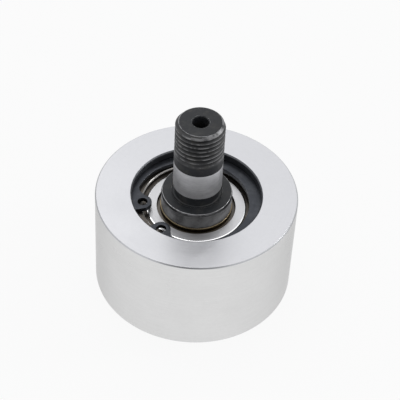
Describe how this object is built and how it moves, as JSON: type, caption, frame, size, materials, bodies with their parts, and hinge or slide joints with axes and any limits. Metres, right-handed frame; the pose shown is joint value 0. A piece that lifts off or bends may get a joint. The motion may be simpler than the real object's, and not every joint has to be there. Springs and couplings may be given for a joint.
{
  "type": "cam follower",
  "caption": "Stud-type cam follower: a thick steel roller turns on shielded ball bearings round a shouldered, threaded stud.",
  "frame": {"origin": "centre of the roller's lower face, on the stud's axis", "axes": "+Z along the stud, from the roller towards the threaded end; +X and +Y across it, with the roller's retaining-ring gaps between -X and -Y"},
  "size_m": [0.05, 0.05, 0.0511],
  "materials": {
    "ground_steel": "ground",
    "black_oxide_steel": "black oxide, ground bright on the shank",
    "spring_steel": "black phosphate",
    "race_steel": "ground and oiled",
    "shield_steel": "bright pressed sheet",
    "spacer_steel": "turned",
    "ball_steel": "polished",
    "cage_polymer": "moulded"
  },
  "bodies": {
    "stud": {"stud": "black_oxide_steel", "inner_spacer": "spacer_steel", "stud_circlip": "spring_steel", "upper_bearing_inner_race": "race_steel", "lower_bearing_inner_race": "race_steel"},
    "roller": {"roller": "ground_steel", "outer_spacer": "spacer_steel", "upper_circlip": "spring_steel", "lower_circlip": "spring_steel", "upper_bearing_outer_race": "race_steel", "upper_bearing_outer_shield": "shield_steel", "upper_bearing_inner_shield": "shield_steel", "lower_bearing_outer_race": "race_steel", "lower_bearing_outer_shield": "shield_steel", "lower_bearing_inner_shield": "shield_steel"},
    "upper_cage": {"upper_bearing_cage": "cage_polymer"},
    "upper_ball_1": {"upper_bearing_ball_1": "ball_steel"},
    "upper_ball_2": {"upper_bearing_ball_2": "ball_steel"},
    "upper_ball_3": {"upper_bearing_ball_3": "ball_steel"},
    "upper_ball_4": {"upper_bearing_ball_4": "ball_steel"},
    "upper_ball_5": {"upper_bearing_ball_5": "ball_steel"},
    "upper_ball_6": {"upper_bearing_ball_6": "ball_steel"},
    "upper_ball_7": {"upper_bearing_ball_7": "ball_steel"},
    "upper_ball_8": {"upper_bearing_ball_8": "ball_steel"},
    "upper_ball_9": {"upper_bearing_ball_9": "ball_steel"},
    "lower_cage": {"lower_bearing_cage": "cage_polymer"},
    "lower_ball_1": {"lower_bearing_ball_1": "ball_steel"},
    "lower_ball_2": {"lower_bearing_ball_2": "ball_steel"},
    "lower_ball_3": {"lower_bearing_ball_3": "ball_steel"},
    "lower_ball_4": {"lower_bearing_ball_4": "ball_steel"},
    "lower_ball_5": {"lower_bearing_ball_5": "ball_steel"},
    "lower_ball_6": {"lower_bearing_ball_6": "ball_steel"},
    "lower_ball_7": {"lower_bearing_ball_7": "ball_steel"},
    "lower_ball_8": {"lower_bearing_ball_8": "ball_steel"},
    "lower_ball_9": {"lower_bearing_ball_9": "ball_steel"}
  },
  "joints": [
    {"name": "roller_spin", "type": "hinge", "parent": "stud", "child": "roller", "pos_m": [0, 0, 0.01375], "axis": [0, 0, 1], "continuous": true},
    {"name": "upper_cage_spin", "type": "hinge", "parent": "stud", "child": "upper_cage", "pos_m": [0, 0, 0.0195], "axis": [0, 0, 1], "continuous": true},
    {"name": "upper_ball_1_spin", "type": "hinge", "parent": "upper_cage", "child": "upper_ball_1", "pos_m": [0.01175, 0, 0.0195], "axis": [0, 0, 1], "continuous": true},
    {"name": "upper_ball_2_spin", "type": "hinge", "parent": "upper_cage", "child": "upper_ball_2", "pos_m": [0.009, 0.00755, 0.0195], "axis": [0, 0, 1], "continuous": true},
    {"name": "upper_ball_3_spin", "type": "hinge", "parent": "upper_cage", "child": "upper_ball_3", "pos_m": [0.00204, 0.01157, 0.0195], "axis": [0, 0, 1], "continuous": true},
    {"name": "upper_ball_4_spin", "type": "hinge", "parent": "upper_cage", "child": "upper_ball_4", "pos_m": [-0.00588, 0.01018, 0.0195], "axis": [0, 0, 1], "continuous": true},
    {"name": "upper_ball_5_spin", "type": "hinge", "parent": "upper_cage", "child": "upper_ball_5", "pos_m": [-0.01104, 0.00402, 0.0195], "axis": [0, 0, 1], "continuous": true},
    {"name": "upper_ball_6_spin", "type": "hinge", "parent": "upper_cage", "child": "upper_ball_6", "pos_m": [-0.01104, -0.00402, 0.0195], "axis": [0, 0, 1], "continuous": true},
    {"name": "upper_ball_7_spin", "type": "hinge", "parent": "upper_cage", "child": "upper_ball_7", "pos_m": [-0.00588, -0.01018, 0.0195], "axis": [0, 0, 1], "continuous": true},
    {"name": "upper_ball_8_spin", "type": "hinge", "parent": "upper_cage", "child": "upper_ball_8", "pos_m": [0.00204, -0.01157, 0.0195], "axis": [0, 0, 1], "continuous": true},
    {"name": "upper_ball_9_spin", "type": "hinge", "parent": "upper_cage", "child": "upper_ball_9", "pos_m": [0.009, -0.00755, 0.0195], "axis": [0, 0, 1], "continuous": true},
    {"name": "lower_cage_spin", "type": "hinge", "parent": "stud", "child": "lower_cage", "pos_m": [0, 0, 0.008], "axis": [0, 0, 1], "continuous": true},
    {"name": "lower_ball_1_spin", "type": "hinge", "parent": "lower_cage", "child": "lower_ball_1", "pos_m": [0.01175, 0, 0.008], "axis": [0, 0, 1], "continuous": true},
    {"name": "lower_ball_2_spin", "type": "hinge", "parent": "lower_cage", "child": "lower_ball_2", "pos_m": [0.009, 0.00755, 0.008], "axis": [0, 0, 1], "continuous": true},
    {"name": "lower_ball_3_spin", "type": "hinge", "parent": "lower_cage", "child": "lower_ball_3", "pos_m": [0.00204, 0.01157, 0.008], "axis": [0, 0, 1], "continuous": true},
    {"name": "lower_ball_4_spin", "type": "hinge", "parent": "lower_cage", "child": "lower_ball_4", "pos_m": [-0.00588, 0.01018, 0.008], "axis": [0, 0, 1], "continuous": true},
    {"name": "lower_ball_5_spin", "type": "hinge", "parent": "lower_cage", "child": "lower_ball_5", "pos_m": [-0.01104, 0.00402, 0.008], "axis": [0, 0, 1], "continuous": true},
    {"name": "lower_ball_6_spin", "type": "hinge", "parent": "lower_cage", "child": "lower_ball_6", "pos_m": [-0.01104, -0.00402, 0.008], "axis": [0, 0, 1], "continuous": true},
    {"name": "lower_ball_7_spin", "type": "hinge", "parent": "lower_cage", "child": "lower_ball_7", "pos_m": [-0.00588, -0.01018, 0.008], "axis": [0, 0, 1], "continuous": true},
    {"name": "lower_ball_8_spin", "type": "hinge", "parent": "lower_cage", "child": "lower_ball_8", "pos_m": [0.00204, -0.01157, 0.008], "axis": [0, 0, 1], "continuous": true},
    {"name": "lower_ball_9_spin", "type": "hinge", "parent": "lower_cage", "child": "lower_ball_9", "pos_m": [0.009, -0.00755, 0.008], "axis": [0, 0, 1], "continuous": true}
  ],
  "couplings": [
    {"joint": "upper_cage_spin", "follows": "roller_spin", "ratio": 0.60132},
    {"joint": "upper_ball_1_spin", "follows": "roller_spin", "ratio": 2.3661},
    {"joint": "upper_ball_2_spin", "follows": "roller_spin", "ratio": 2.3661},
    {"joint": "upper_ball_3_spin", "follows": "roller_spin", "ratio": 2.3661},
    {"joint": "upper_ball_4_spin", "follows": "roller_spin", "ratio": 2.3661},
    {"joint": "upper_ball_5_spin", "follows": "roller_spin", "ratio": 2.3661},
    {"joint": "upper_ball_6_spin", "follows": "roller_spin", "ratio": 2.3661},
    {"joint": "upper_ball_7_spin", "follows": "roller_spin", "ratio": 2.3661},
    {"joint": "upper_ball_8_spin", "follows": "roller_spin", "ratio": 2.3661},
    {"joint": "upper_ball_9_spin", "follows": "roller_spin", "ratio": 2.3661},
    {"joint": "lower_cage_spin", "follows": "roller_spin", "ratio": 0.60132},
    {"joint": "lower_ball_1_spin", "follows": "roller_spin", "ratio": 2.3661},
    {"joint": "lower_ball_2_spin", "follows": "roller_spin", "ratio": 2.3661},
    {"joint": "lower_ball_3_spin", "follows": "roller_spin", "ratio": 2.3661},
    {"joint": "lower_ball_4_spin", "follows": "roller_spin", "ratio": 2.3661},
    {"joint": "lower_ball_5_spin", "follows": "roller_spin", "ratio": 2.3661},
    {"joint": "lower_ball_6_spin", "follows": "roller_spin", "ratio": 2.3661},
    {"joint": "lower_ball_7_spin", "follows": "roller_spin", "ratio": 2.3661},
    {"joint": "lower_ball_8_spin", "follows": "roller_spin", "ratio": 2.3661},
    {"joint": "lower_ball_9_spin", "follows": "roller_spin", "ratio": 2.3661}
  ]
}
